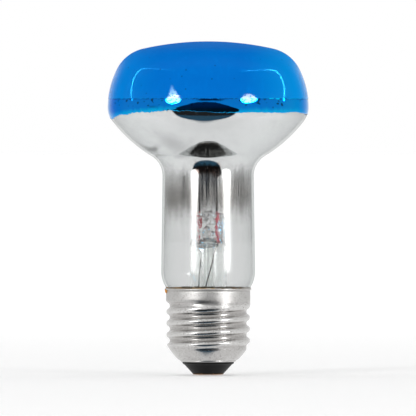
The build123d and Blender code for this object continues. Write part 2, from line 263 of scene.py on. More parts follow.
def lathe(line, segments, loop=False):
    """Turns a line of (r, z) points round the axis. r and z may vary round it."""
    nearest = 1e-6
    return skin([pole(z) if np.max(r) < nearest else ring(r, z, segments) for r, z in line], loop)


def tube(path, radius, sides):
    """A round wire along a path of points, with rounded-off ends. radius may vary along it."""
    path = np.asarray(path, dtype=float)
    radius = np.broadcast_to(np.asarray(radius, dtype=float), (len(path),))
    along = np.gradient(path, axis=0)
    along /= np.linalg.norm(along, axis=1)[:, None]
    across = np.cross(along[0], (0.3, 0.5, 0.81))
    turn = turns(sides)
    end_bulge = 0.4
    rows = [path[:1] - along[:1] * radius[0] * end_bulge]
    for point, way, r in zip(path, along, radius):
        across = across - way * across.dot(way)
        across /= np.linalg.norm(across)
        other = np.cross(way, across)
        rows.append(point + r * (np.cos(turn)[:, None] * across + np.sin(turn)[:, None] * other))
    rows.append(path[-1:] + along[-1:] * radius[-1] * end_bulge)
    points, faces = skin(rows)
    return points, [tuple(reversed(face)) for face in faces]


def spline(corners, steps):
    """Points on a smooth curve through the corners."""
    p = np.asarray(corners, dtype=float)
    p = np.vstack((2 * p[0] - p[1], p, 2 * p[-1] - p[-2]))
    t = np.linspace(0, 1, steps, endpoint=False)[:, None]
    out = []
    for a, b, c, d in zip(p, p[1:], p[2:], p[3:]):
        square = 2 * a - 5 * b + 4 * c - d
        cube = 3 * b - a - 3 * c + d
        out.append(0.5 * (2 * b + (c - a) * t + square * t**2 + cube * t**3))
    out.append(p[-2:-1])
    return np.vstack(out)


# Node trees
def sign(operation, swapped=False):
    """The method for a sign of arithmetic, done by a node."""

    def method(self, other):
        values = (other, self) if swapped else (self, other)
        return self.graph.math(operation, *values)

    return method


class Value:
    """An output of a node, with the usual signs of arithmetic."""

    def __init__(self, graph, socket):
        self.graph = graph
        self.socket = socket

    def __neg__(self):
        return self * -1

    __add__ = __radd__ = sign("ADD")
    __sub__ = sign("SUBTRACT")
    __rsub__ = sign("SUBTRACT", swapped=True)
    __mul__ = __rmul__ = sign("MULTIPLY")
    __truediv__ = sign("DIVIDE")
    __pow__ = sign("POWER")

    def ease(self, low, high, start=0, end=1, kind="SMOOTHSTEP"):
        """Goes from start to end as the value goes from low to high, on an even curve."""
        limits = {"Value": self, "From Min": low, "From Max": high, "To Min": start, "To Max": end}
        return self.graph.read("MapRange", "Result", limits, interpolation_type=kind)

    def line(self, low, high, start=0, end=1):
        """Goes straight from start to end as the value goes from low to high."""
        return self.ease(low, high, start, end, "LINEAR")

    def fall(self, low, high):
        """1 below low, 0 above high, and an even curve between."""
        return self.ease(low, high, 1, 0)

    def band(self, low, high, soft):
        """1 between low and high, 0 outside, with soft edges."""
        return self.ease(low - soft, low + soft) * self.fall(high - soft, high + soft)


class Graph:
    """Short calls for building a node tree."""

    def __init__(self, tree):
        self.tree = tree
        tree.nodes.clear()

    def node(self, kind, inputs=None, **settings):
        """A new node. Its inputs, by name or place, are outputs of other nodes or fixed values."""
        made = self.tree.nodes.new("ShaderNode" + kind)
        for key, value in settings.items():
            setattr(made, key, value)
        for key, value in (inputs or {}).items():
            if isinstance(value, Value):
                self.tree.links.new(value.socket, made.inputs[key])
            else:
                made.inputs[key].default_value = value
        return made

    def read(self, kind, output, inputs=None, **settings):
        """One output of a new node."""
        return Value(self, self.node(kind, inputs, **settings).outputs[output])

    def math(self, operation, *values):
        return self.read("Math", 0, dict(enumerate(values)), operation=operation)

    def length(self, x, y):
        return self.math("SQRT", x * x + y * y)

    def split(self, vector):
        return [Value(self, part) for part in self.node("SeparateXYZ", {"Vector": vector}).outputs]

    def ramp(self, value, *stops):
        """Colours, or greys given as one number, at places along the value's way from 0 to 1."""
        made = self.node("ValToRGB", {"Fac": value})
        parts = made.color_ramp.elements
        while len(parts) < len(stops):
            parts.new(0.5)
        for part, (place, colour) in zip(parts, stops):
            part.position = place
            part.color = (*colour, 1) if isinstance(colour, tuple) else (colour, colour, colour, 1)
        return Value(self, made.outputs["Color"])

    def blend(self, factor, first, second):
        """Goes from the first colour to the second as factor goes from 0 to 1."""
        a, b = (c if isinstance(c, Value) else (*c, 1) for c in (first, second))
        return self.read("Mix", 2, {0: factor, 6: a, 7: b}, data_type="RGBA")

    def paint(self, colour, *layers):
        """A colour with layers over it, each given as its cover from 0 to 1 and its colour."""
        for cover, over in layers:
            colour = self.blend(cover, colour, over)
        return colour

    def facing(self):
        """0 where the surface faces the eye, 1 where it is seen edge on."""
        return self.read("LayerWeight", "Facing", {"Blend": 0.5})

    def noise(self, size, detail=2, roughness=0.5):
        """A noise from 0 to 1. Its features have one size in millimetres, or one across and one along Z."""
        across, along = size if isinstance(size, tuple) else (size, size)
        shrunk = self.read("VectorMath", 0, {0: self.place, 1: (across, across, along)}, operation="DIVIDE")
        values = {"Vector": shrunk, "Scale": 1, "Detail": detail, "Roughness": roughness}
        return self.read("TexNoise", "Fac", values)

    def bump(self, height, depth, strength=1, normal=None):
        """A surface roughened by up to depth millimetres."""
        values = {"Height": height, "Distance": depth * MM, "Strength": strength}
        if normal is not None:
            values["Normal"] = normal
        return self.read("Bump", "Normal", values)

    def shader(self, kind, **values):
        return self.read(kind, 0, {key.replace("_", " "): value for key, value in values.items()})

    def mix(self, factor, first, second):
        """Goes from the first shader to the second as factor goes from 0 to 1."""
        return self.read("MixShader", 0, {0: factor, 1: first, 2: second})

    def add(self, first, second):
        """The light of both shaders."""
        return self.read("AddShader", 0, {0: first, 1: second})

    def surface(self, shader, output="OutputMaterial"):
        self.node(output, {"Surface": shader})

    def principled(self, **values):
        self.surface(self.shader("BsdfPrincipled", **values))


def material(name, finish, *values, **more):
    """A material whose nodes the finish builds. g.place is the point on the piece, in millimetres."""
    made = bpy.data.materials.new(name)
    made.use_nodes = True
    g = Graph(made.node_tree)
    point = g.read("TexCoord", "Object")
    g.place = g.read("VectorMath", 0, {0: point, "Scale": 1 / MM}, operation="SCALE")
    finish(g, *values, **more)
    return made


# Materials
def clear_glass(g):
    """Thin blown glass: clear, with gloss that grows to the edge and a greyer rim."""
    x, y, z = g.split(g.place)
    facing = g.facing()
    tucked = z.ease(z_rim, z_rim + 3.1, 1.2, 0)
    outside = (g.length(x, y) + tucked).ease(neck_radius - 0.25, neck_radius - 0.05)
    rim = facing**2 * outside * z.ease(62.5, 66.5, 1, 0.4)
    clear = g.shader("BsdfTransparent", Color=g.blend(rim, (0.896, 0.9, 0.9), (0.64, 0.665, 0.66)))
    smudge = g.noise((6, 11), 3).ease(0.5, 0.75, 0.03, 0.06)
    ripple = g.bump(g.noise((4, 60), 1), 0.02)
    shine = g.shader("BsdfAnisotropic", Roughness=smudge, Normal=ripple)
    clean = g.mix(facing**5 * 0.5 + 0.04, clear, shine)
    dust = g.shader("BsdfDiffuse", Color=(0.6, 0.58, 0.54, 1))
    g.surface(g.mix(g.noise(0.55, 1).ease(0.76, 0.82, 0, 0.35), clean, dust))


def mirror_film(g):
    """Silvering inside the bowl that thins out to smoke and then to nothing down the neck."""
    x, y, z = g.split(g.place)
    streak = g.noise((1.3, 30), 3, 0.6)
    cloud = g.noise((7, 9), 2)
    level = z + (streak.line(0.25, 0.75, -0.9, 0.9) + cloud.line(0.25, 0.75, -1.2, 1.2))
    thinning = ((0.08, 0), (0.22, 0.04), (0.33, 0.14), (0.43, 0.33), (0.56, 0.62), (0.7, 0.88))
    cover = g.ramp(level.line(45, 65), *thinning, (0.85, 0.97), (0.97, 1))
    silver = g.ramp(
        level.line(46, 70),
        (0.15, (0.2, 0.175, 0.15)),
        (0.3, (0.23, 0.205, 0.185)),
        (0.46, (0.36, 0.345, 0.33)),
        (0.58, (0.55, 0.54, 0.53)),
        (0.67, (0.69, 0.685, 0.68)),
        (0.75, 0.86),
        (0.83, 0.93),
        (0.95, (0.955, 0.955, 0.96)),
    )
    # Down the neck it is scratched into upright streaks: dull, bare or milky; a band of painted shade lies
    # on its front
    scratched = z.fall(60, 68)
    dull = g.noise((0.5, 45), 2, 0.6).ease(0.42, 0.6, 0.5, 0) * scratched * x.ease(-6, 4, 0.3, 1)
    # Painted shade: a dark upright band on the front of the neck, right of the middle
    painted_shade_band = x.band(8.6, 11.2, 0.8) * y.fall(-6, -2)
    painted_shade_band = painted_shade_band * scratched * streak.ease(0.35, 0.6, 0.8, 0.3)
    bare = g.noise((1, 38), 2, 0.6).ease(0.54, 0.66, 0, 0.55) * scratched
    milky = g.noise((0.5, 30), 2, 0.6).ease(0.44, 0.58, 0, 0.75)
    milky = milky * z.fall(55, 66) * x.ease(-6, -3, 0.4, 1)
    # The bowl is faintly wiped, and a brown patch lies where the neck widens, on the front
    wiped = g.noise((2.2, 11), 4, 0.65).ease(0.5, 0.74, 0, 0.12) * z.ease(66, 70)
    front_brown_patch = g.noise((0.9, 2.2), 3, 0.6).ease(0.3, 0.5, 0.4, 1)
    front_brown_patch = front_brown_patch * level.band(63.2, 66.8, 0.6) * x.band(-4, 3.6, 0.9) * y.fall(-9, -6)
    colour = g.paint(
        silver,
        (dull, (0.12, 0.11, 0.105)),
        (painted_shade_band, (0.1, 0.1, 0.1)),
        (milky, (0.5, 0.48, 0.455)),
        (wiped, (0.55, 0.55, 0.56)),
        (front_brown_patch * 0.9, (0.36, 0.2, 0.15)),
    )
    normal = g.bump(g.noise((5, 12), 1), 0.02)
    cover = cover * (1 - bare)
    g.principled(Base_Color=colour, Metallic=1 - milky, Roughness=0, Alpha=cover, Normal=normal)


def blue_lacquer(g):
    """Clear-blue lacquer: bright over bare glass, and like blue metal over the silvering."""
    x, y, z = g.split(g.place)
    level = z + g.noise((1.1, 0.5), 4, 0.65).line(0.3, 0.7, -0.22, 0.22)
    behind = level.fall(z_film_top - 0.12, z_film_top + 0.12)
    pool = g.noise((14, 5), 3)
    flow = g.noise((1.6, 22), 3)
    # Over bare glass it has pools and runs, and painted light makes it lighter towards both sides
    runs = flow.ease(0.5, 0.8, 0, 0.35)
    # Painted light: paler, cyan blue towards the right side and a little towards the left
    painted_side_light = x.ease(9, 30, 0, 0.85) + x.ease(-33, -13, 0.42, 0)
    front = g.blend(pool, (0, 0.138, 0.54), (0, 0.162, 0.6))
    front = g.paint(front, (runs, (0, 0.19, 0.66)), (painted_side_light, (0, 0.3, 0.78)))
    # Over the silvering it is paler to the right, and towards its lower edge, which make_lacquer shapes
    seen = g.math("DEGREES", g.math("ARCTAN2", x, -y))
    raised = seen.ease(-92, -30) * seen.fall(62, 100)
    edge = x * tan(lacquer_tilt) + (z_equator - lacquer_drop)
    edge = edge + (z_equator - lacquer_drop_seen - edge) * raised
    edge = edge + seen.band(-36, -12, 9) * 0.6
    above = z - edge + flow.line(0.3, 0.7, -0.3, 0.3)
    right, low = x.ease(18, 30, 0, 0.8), above.ease(0, 1.9, 0.95, 0)
    over = g.blend(pool, (0, 0.15, 0.53), (0, 0.19, 0.63))
    over = g.paint(over, (right, (0, 0.29, 0.65)), (low, (0, 0.35, 0.67)))
    # The silvering's edge is a broken dark seam with a stretch of painted highlight, and drops lie below it
    seam = level.band(z_film_top - 0.16, z_film_top + 0.1, 0.08)
    seam = seam * g.noise((2.4, 1), 3, 0.7).ease(0.38, 0.6)
    splashed = x.band(15.5, 24.5, 0.6) + x.band(-25, -18.5, 0.6)
    drops = (splashed * 0.07 + g.noise((1.5, 0.95), 0)).ease(0.73, 0.77)
    drops = drops * z.band(z_film_top - 2.2, z_film_top, 0.3)
    # Painted highlight: a bright line along the silvering's edge on the right
    painted_edge_highlight = level.band(z_film_top - 0.1, z_film_top + 0.22, 0.08) * x.band(18, 26, 1)
    painted_edge_highlight = painted_edge_highlight * g.noise((1.1, 2), 1).ease(0.48, 0.56)
    pits = g.read("TexVoronoi", "Distance", {"Vector": g.place, "Scale": 0.25})
    colour = g.paint(
        front,
        (behind, over),
        (seam, (0, 0.03, 0.16)),
        (drops, (0, 0.02, 0.1)),
        (painted_edge_highlight, (0, 0.55, 1)),
        (pits.ease(0.045, 0.09, 0.65, 0), (0, 0.04, 0.17)),
    )
    # The gloss grows towards the edges, but not on the crown
    facing = g.facing()
    grazing = g.ramp(facing, (0.57, 0), (0.64, 0.05), (0.72, 0.34), (0.8, 0.62), (1, 0.74))
    grazing = grazing + facing.band(0.3, 0.46, 0.06) * 0.06
    grazing = grazing * z.fall(z_front - 11, z_front - 5)
    g.principled(
        Base_Color=colour,
        Metallic=behind,
        Roughness=behind.ease(0, 1, 0.3, 0),
        Normal=g.bump(g.noise(1.6, 2), 0.01),
        Coat_Weight=facing.ease(0.2, 0.44, 0.12, 0.04) + grazing,
        Coat_Roughness=0,
        Coat_IOR=1.4,
        Specular_IOR_Level=0,
        Specular_Tint=(0.2, 0.55, 0.95, 1),
    )


def cap_metal(g):
    """Pressed and plated sheet: satin, with rolling marks, worn crests, specks, and painted shade in the
    grooves.
    """
    x, y, z = g.split(g.place)
    radius = g.length(x, y)
    patch = g.noise((3, 1.2), 4, 0.6)
    grain = g.noise(0.22, 3, 0.7)
    rolled = g.noise((9, 0.14), 3, 0.6)
    # Painted shade: the thread's grooves are darkened towards their root; the same dark colour also marks
    # real tarnish specks
    groove = radius.fall(root_radius + 0.03, root_radius + 0.45)
    groove = groove * z.ease(z_cone - 0.25, z_cone + 0.55)
    worn = radius.ease(crest_radius - 0.4, crest_radius - 0.05, 0, 0.5)
    tarnish_and_groove_shade = (0.24, 0.225, 0.21)
    colour = g.paint(
        g.blend(patch, (0.43, 0.42, 0.41), (0.56, 0.555, 0.545)),
        (groove * 0.4, tarnish_and_groove_shade),
        (worn * z.band(z_cone - 0.05, z_skirt - 0.45, 0.4), (0.72, 0.715, 0.705)),
        (g.noise(0.4, 2, 0.6).ease(0.57, 0.65, 0, 0.7), tarnish_and_groove_shade),
        (g.noise(0.3, 2, 0.6).ease(0.6, 0.72, 0, 0.6), (0.75, 0.745, 0.735)),
    )
    rough = patch.line(0.3, 0.7, 0.17, 0.26) + grain.line(0.3, 0.7, -0.03, 0.05)
    rough = rough + z.ease(z_skirt - 0.25, z_skirt + 1.35, 0, 0.2)
    normal = g.bump(grain, 0.012, 0.7, g.bump(rolled, 0.006, 0.6))
    g.principled(Base_Color=colour, Metallic=1, Roughness=rough, Normal=normal)


def black_glass(g):
    """Dark moulded glass: dull, with fine pits and grey dust."""
    grain = g.noise(0.3, 4, 0.7)
    dust = g.noise(0.35, 2).ease(0.66, 0.76, 0, 0.5)
    colour = g.blend(g.noise(2.2, 3), (0.006, 0.006, 0.006), (0.012, 0.012, 0.0118))
    g.principled(
        Base_Color=g.blend(dust, colour, (0.07, 0.068, 0.064)),
        Roughness=grain.line(0.3, 0.7, 0.38, 0.62),
        Normal=g.bump(grain, 0.03, 0.8),
        Specular_IOR_Level=0.12,
    )


def plain_metal(g, dark, light, rough, scale, depth=0.01, metallic=1):
    """A wire or plate metal with a worn grain."""
    cloud = g.noise(scale * 4, 3)
    grain = g.noise(scale, 3, 0.65)
    g.principled(
        Base_Color=g.blend(cloud.ease(0.3, 0.7), dark, light),
        Metallic=metallic,
        Roughness=grain.line(0.3, 0.7, rough * 0.75, rough * 1.3),
        Normal=g.bump(grain, depth),
    )


def cap_cement(g):
    """Brown baked cement with lighter grains, and paler patches to the right."""
    x = g.split(g.place)[0]
    grain = g.noise(0.25, 4, 0.7)
    cloud = g.noise((3, 1), 3).ease(0.35, 0.65)
    pale = g.noise((1.6, 1), 3).ease(0.42, 0.56) * x.ease(-6, 2)
    colour = g.paint(
        g.blend(cloud, (0.13, 0.075, 0.03), (0.34, 0.235, 0.12)),
        (grain.ease(0.55, 0.75, 0, 0.6), (0.45, 0.36, 0.24)),
        (pale * 0.85, (0.46, 0.45, 0.42)),
    )
    g.principled(Base_Color=colour, Roughness=0.75, Normal=g.bump(grain, 0.05))


def flux_solder(g):
    """A solder spot under a film of amber flux."""
    cloud = g.noise(0.5, 3).ease(0.35, 0.65)
    g.principled(
        Base_Color=g.blend(cloud, (0.5, 0.16, 0.01), (0.72, 0.33, 0.04)),
        Metallic=0.25,
        Roughness=0.35,
        Normal=g.bump(g.noise(0.2, 3), 0.04),
        Coat_Weight=0.5,
        Coat_Roughness=0.1,
    )


def stem_glass(g):
    """Drawn tube glass, with deeper marks on the press."""
    z = g.split(g.place)[2]
    ripple = g.bump(g.noise((1.2, 9), 2), 0.03)
    pressed = g.noise((1.5, 1.1), 2) * z.band(z_taper + 1.5, z_press_top + 1, 1)
    g.principled(
        Base_Color=g.blend(g.noise(4, 2), (0.95, 0.965, 0.955), (0.985, 0.99, 0.985)),
        Roughness=0,
        IOR=1.5,
        Transmission_Weight=1,
        Normal=g.bump(pressed, 0.5, 1, ripple),
    )


glass = material("clear_glass", clear_glass)
film = material("mirror_film", mirror_film)
lacquer = material("blue_lacquer", blue_lacquer)
metal = material("cap_metal", cap_metal)
dark_glass = material("black_glass", black_glass)
brass = material("contact_metal", plain_metal, (0.16, 0.09, 0.05), (0.34, 0.2, 0.11), 0.34, 0.35)
tin = material("solder", plain_metal, (0.42, 0.42, 0.42), (0.62, 0.62, 0.63), 0.3, 0.25, 0.03)
amber = material("flux_solder", flux_solder)
cement = material("cement", cap_cement)
tube_glass = material("stem_glass", stem_glass)
copper = material("seal_copper", plain_metal, (0.6, 0.07, 0.1), (0.8, 0.16, 0.2), 0.3, 0.3, metallic=0.5)
lead = material("lead_metal", plain_metal, (0.05, 0.038, 0.034), (0.14, 0.115, 0.105), 0.32, 0.25)
tungsten = material("filament_metal", plain_metal, (0.07, 0.07, 0.075), (0.16, 0.16, 0.165), 0.4, 0.12)


# Bulb, lacquer and silvering
def make_bulb():
    outer = bulb_line(0, 0.7)
    inner = bulb_line(-glass_wall, 1.4)[::-1]
    form = lathe(np.vstack((outer, inner)), 192)
    mesh_piece("bulb_glass_blown", form, glass, "clear_glass", "bulb_glass")


def coat_rows(offset, shares, edge_z, thickness=None):
    """Rows of points over the bulb from the pole to an edge whose height varies round it."""
    line = bulb_line(offset, 0.2)
    run = np.concatenate(([0], np.cumsum(np.linalg.norm(np.diff(line, axis=0), axis=1))))
    normal = np.gradient(line, axis=0)
    normal = np.stack((-normal[:, 1], normal[:, 0]), axis=1)
    normal /= np.linalg.norm(normal, axis=1)[:, None]
    end = np.interp(-edge_z, -line[:, 1], run)
    rows = []
    for share in shares:
        reach = end * share
        r = np.interp(reach, run, line[:, 0])
        z = np.interp(reach, run, line[:, 1])
        if thickness is not None:
            add = thickness(end - reach)
            r = r + add * np.interp(reach, run, normal[:, 0])
            z = z + add * np.interp(reach, run, normal[:, 1])
        rows.append(pole(z[0]) if share == 0 else ring(r, z, len(edge_z)))
    return rows


def lacquer_build_up(distance):
    """The lacquer's thickness at a distance from its edge: slight there, then a bead, then even."""
    return coat_thickness * (1 - np.exp(-distance / 0.12)) + 0.035 * hump(distance, 0.35, 0.22)


def make_lacquer():
    """The coat, with a ragged edge that runs higher on the seen side, most of all left of the middle."""
    angle = turns(600)
    seen = from_front(angle)
    edge = z_equator - lacquer_drop + tan(lacquer_tilt) * bulb_radius * np.cos(angle)
    raised = smooth(seen, -92, -30) * smooth(-seen, -100, -62)
    edge = edge + (z_equator - lacquer_drop_seen - edge) * raised
    edge = edge + 0.7 * hump(seen, -24, 15)
    rough = 0.5 + 0.5 * smooth(-seen, -10, 40) * smooth(seen, -110, -70)
    edge = edge + rough * (0.16 * waves(angle, 3, 6, 40, 0.6) + 0.11 * waves(angle, 5, 60, 170, 0.3))
    near_edge = [0.97, 0.978, 0.985, 0.99, 0.994, 0.997, 0.9985, 1]
    outer_shares = [0, 0.01, *np.linspace(0.03, 0.96, 62), *near_edge]
    inner_shares = [0, 0.01, *np.linspace(0.04, 0.98, 30), 0.993]
    outer = coat_rows(coat_gap, outer_shares, edge, lacquer_build_up)
    inner = coat_rows(coat_gap, inner_shares, edge)[::-1]
    mesh_piece("blue_lacquer_coat", skin(outer + inner), lacquer, "blue_lacquer", "blue_lacquer")


def make_film():
    """The silvering inside the glass, from an uneven upper edge down into the neck."""
    segments = 240
    offset = -glass_wall - coat_gap
    top = z_film_top + 0.12 * waves(turns(segments), 11, 4, 40, 0.7)
    side = bulb_line(offset, 0.1)
    upper = side[side[:, 1] >= z_equator][::-1]
    line = [(np.interp(top, upper[:, 1], upper[:, 0]), top)]
    both = np.vstack((bulb_line(offset, 0.6), bulb_line(offset - coat_thickness, 1.6)[::-1]))
    line += [(r, z) for r, z in both if z_film_fade <= z < z_film_top - 0.5]
    mesh_piece("mirror_film_coat", lathe(line, segments, loop=True), film, "mirror_film", "mirror_film")


# Cap
def shell_radius(angle, z):
    """Outside radius of the screw shell: cone, rounded thread that runs out at both ends, and skirt."""
    half = thread_pitch / 2
    bend = (half**2 + thread_depth**2) / (4 * thread_depth)
    first = thread_start + thread_pitch * (angle - thread_start_angle) / TURN
    crest = first + np.round((z - first) / thread_pitch) * thread_pitch
    away = np.abs(z - crest)
    top = crest_radius - bend + np.sqrt(np.maximum(bend**2 - away**2, 0))
    low = root_radius + bend - np.sqrt(np.maximum(bend**2 - (half - away) ** 2, 0))
    thread = np.where(away < half / 2, top, low)
    thread = between(root_radius, thread, smooth(crest, z_cone - 0.75, z_cone + 0.45))
    groove = crest + np.where(z > crest, half, -half)
    thread = between(thread, skirt_radius, smooth(groove, z_skirt - 0.75, z_skirt + 0.35))
    thread = between(thread, skirt_radius, smooth(z, z_skirt - 0.05, z_skirt + 1.95))
    share = (z - z_lip) / (z_cone - z_lip)
    cone = between(lip_radius, root_radius + cone_widening, share)
    cone = cone + cone_swell * np.sin(pi * np.clip(share, 0, 1))
    corner = 0.12
    gap = cone - thread
    return 0.5 * (cone + thread - np.sqrt(gap**2 + corner**2)) + 0.25 * corner * hump(gap, 0, 0.6)


def make_shell():
    """The pressed shell: lip, cone and thread, a beaded and rolled rim, and back down inside."""
    segments = 300
    angle = turns(segments)
    lip_hole, lip_round, rim_round = lip_radius - lip_width, 0.32, 0.3
    z_thread, z_plain, z_bead = 8, 24.8, 26.4
    line = [
        (lip_hole, z_lip + shell_wall),
        (lip_hole + 0.05, z_lip + 0.04),
        (lip_hole + 0.15, z_lip),
        (lip_radius - lip_round, z_lip),
    ]
    line += arc(lip_radius - lip_round + 0.06, z_lip + lip_round, lip_round, np.arange(20, 121, 20))
    cone_steps = np.arange(z_lip + 0.75, z_thread, 0.25)
    thread_steps = np.arange(z_thread, z_plain, 0.125)
    plain_steps = np.arange(z_plain, z_bead, 0.2)
    for z in np.concatenate((cone_steps, thread_steps, plain_steps)):
        line.append((shell_radius(angle, z), z))
    for out, up in ((-0.01, 0.02), (-0.12, 0.14), (-0.13, 0.24), (0.02, 0.36)):
        line.append((skirt_radius + out, z_bead + up))
    line += arc(rim_radius - rim_round, z_rim - rim_round, rim_round, np.arange(30, 181, 25))
    line.append((rim_radius - rim_round - 0.02, z_rim - 0.12))
    for z in np.arange(z_bead + 0.3, z_lip + 1, -0.5):
        line.append((np.minimum(shell_radius(angle, z) - 0.34, skirt_radius - shell_wall), z))
    line.append((lip_radius - 0.25, z_lip + 0.45))
    form = lathe(line[::-1], segments, loop=True)
    mesh_piece("screw_shell_pressed", form, metal, "cap_metal", "screw_shell")


def make_insulator():
    """The black cone, a shoulder under the shell's lip, and the part that fills the shell's end."""
    line = [(1.1, z_insulator), (4.7, z_insulator)]
    line += arc(4.7, z_insulator + 0.45, 0.45, np.array((15, 30, 45, 52)))
    line += [(5.35, 1.05), (6.1, 1.86), (6.9, 2.72), (7.45, 3.32), (7.62, 3.46), (7.85, 3.56), (8.02, 3.68)]
    line += [(8.1, 3.84), (8.1, 4.1), (8.02, 4.2), (7.9, 4.23), (7.43, 4.23), (7.43, 4.6), (8.6, 4.6)]
    line += [(9.6, 5.9), (9.7, 6.4), (9.4, 6.9), (8.8, 7.05), (1.3, 7.05), (1.1, 6.9)]
    form = lathe(line[::-1], 128, loop=True)
    mesh_piece("insulator_moulded", form, dark_glass, "black_glass", "insulator", sharp=50)


def make_contact_plate():
    """The stamped plate, with a shallow ring pressed round its hole and a rounded edge."""
    line = [(0.9, 0.5), (0.9, 0.3), (0.96, 0.25), (1.9, 0.25), (2.3, 0.255), (2.6, 0.29), (2.9, 0.29)]
    line += [(3.2, 0.255), (4.6, 0.25), (4.78, 0.27), (4.88, 0.33), (4.9, 0.4), (4.88, 0.49), (4.8, 0.54)]
    line += [(4.7, 0.55), (1, 0.55)]
    form = lathe(line[::-1], 128, loop=True)
    mesh_piece("contact_plate_stamped", form, brass, "contact_metal", "contact_plate", sharp=60)


def make_contact_solder():
    """An uneven drop on the plate, and its root in the plate's hole."""
    segments = 96
    angle = turns(segments)
    line = [(0, 0)]
    for share in (0.15, 0.3, 0.42, 0.52, 0.62, 0.72, 0.8, 0.88, 0.94, 0.98, 1):
        reach = 1.7 * share * (1 + 0.05 * share * waves(angle, 21, 2, 7, 0.8))
        lift = 0.25 * smooth(share, 0.42, 1.06)
        uneven = 0.012 * share * (1 - share) * 4 * (1 + waves(angle, 22, 1, 5, 0.6))
        line.append((np.minimum(reach, 1.78), lift + np.maximum(uneven, 0)))
    line += [(1, 0.27), (0.86, 0.29), (0.86, 0.5), (0.6, 0.55), (0, 0.55)]
    mesh_piece("contact_solder_drop", lathe(line[::-1], segments), tin, "solder", "contact_solder")


def make_side_solder():
    """A lump at the rim, over the end of the side lead."""
    turn = radians(side_lead_angle)
    out = np.array((cos(turn), sin(turn), 0.0))
    round_it = np.array((-sin(turn), cos(turn), 0.0))
    centre = skirt_radius * out + (z_rim - 0.9) * UP
    angle = turns(48)
    rows = []
    for share in np.linspace(0, 1, 15):
        lean = share * radians(100)
        wide = 0.72 * sin(lean) * (1 + 0.1 * sin(lean) * waves(angle, 31, 2, 6, 0.7))
        high = 0.5 * cos(lean) + 0.06
        across = np.cos(angle)[:, None] * round_it * 0.95 + np.sin(angle)[:, None] * UP * 0.9
        row = centre + wide[:, None] * across + out * high
        row = row + out * 0.3 * smooth(row[:, 2:3], z_rim - 0.8, z_rim - 0.1)
        rows.append(row[:1] if share == 0 else row)
    rows.append((centre - out * 0.12)[None, :])
    mesh_piece("side_solder_spot", skin(rows), amber, "solder", "side_solder")


def make_cement():
    """The cement between neck and shell, with a ragged bead over the rim that is heavier at the left."""
    segments = 420
    angle = turns(segments)
    seen = from_front(angle)
    heavy = 0.45 + 0.55 * smooth(-seen, -5, 35) * smooth(seen, -120, -60)
    lift = 0.16 + 0.26 * heavy * smooth(waves(angle, 41, 5, 60, 0.6), -0.9, 1.1)
    spread = 0.05 + 0.09 * heavy * smooth(waves(angle, 43, 8, 80, 0.5), -0.6, 1.2)
    neck = bulb_line(0, 0.2)
    neck = neck[neck[:, 1] < z_rim + 5.6][::-1]

    def glass_at(z):
        return np.interp(z, neck[:, 1], neck[:, 0])

    low, top = z_rim - 3.4, z_rim + lift
    inside = rim_radius - 0.33
    line = [
        (glass_at(low) + 0.02, low),
        (skirt_radius - 0.34, low),
        (skirt_radius - 0.32, z_rim - 0.3),
        (inside, z_rim - 0.02),
        (inside + spread * 0.7, z_rim + 0.03),
        (inside + spread, z_rim + lift * 0.3),
        (inside + spread * 0.8, z_rim + lift * 0.65),
        (np.maximum(glass_at(top) + 0.03, inside - 0.03 + spread * 0.3), z_rim + lift * 0.93),
        (glass_at(top) + 0.01, top),
    ]
    for z in (z_rim, z_rim - 1, z_rim - 2.2):
        line.append((glass_at(z) + 0.02, z))
    mesh_piece("cap_cement_bead", lathe(line[::-1], segments, loop=True), cement, "cement", "cap_cement")


# Stem, wires and filament
ACROSS = np.array((cos(stem_turn), -sin(stem_turn), 0.0))
THROUGH = np.array((sin(stem_turn), cos(stem_turn), 0.0))
ROUND, PRESSED = 2, 3.6


def oval(z, wide, deep, power):
    """A row round the stem's section, from round (power 2) to a rounded oblong."""
    turn = turns(240)
    c, s = np.cos(turn), np.sin(turn)
    a = np.sign(c) * np.abs(c) ** (2 / power) * wide
    t = np.sign(s) * np.abs(s) ** (2 / power) * deep
    return a[:, None] * ACROSS + t[:, None] * THROUGH + UP * z


def press_marks(row):
    """How far the press moved each point through the stem: a round dent in front, and uneven faces."""
    a, t, z = row @ ACROSS, row @ THROUGH, row[:, 2]
    rise = z - z_dent
    away = np.hypot(a / 1.9, rise / 2.8)
    front = (t < -1.2) & (z > z_press) & (z < z_press_top - press_edge)
    dent = np.where(front, 2.5 * (1 - smooth(away, 0.25, 1)) - 0.18 * hump(away, 1.12, 0.14), 0)
    face = smooth(np.abs(t), 1, 2.4) * smooth(z, z_press - 1, z_press) * smooth(z_press_top - z, 0, 1)
    pad = 2.7 - np.where(rise > 0, np.hypot(a, rise), np.maximum(np.abs(a), np.abs(rise) - 0.2))
    rough = 0.06 + 0.2 * smooth(z_dent - 2.4 - z, 0, 0.8)
    uneven = -0.3 * smooth(pad, -0.25, 0.15)
    uneven = uneven + rough * lumps(row, 1.5, 51) * (1 - smooth(np.abs(a), 2, 2.9))
    crest = smooth(z, z_press_top - 2.7, z_press_top - 1.9) * (1 - smooth(np.abs(a), 2.6, 3.4))
    uneven = uneven + 0.32 * crest * lumps(row, 1, 53)
    return dent + np.sign(t) * face * uneven


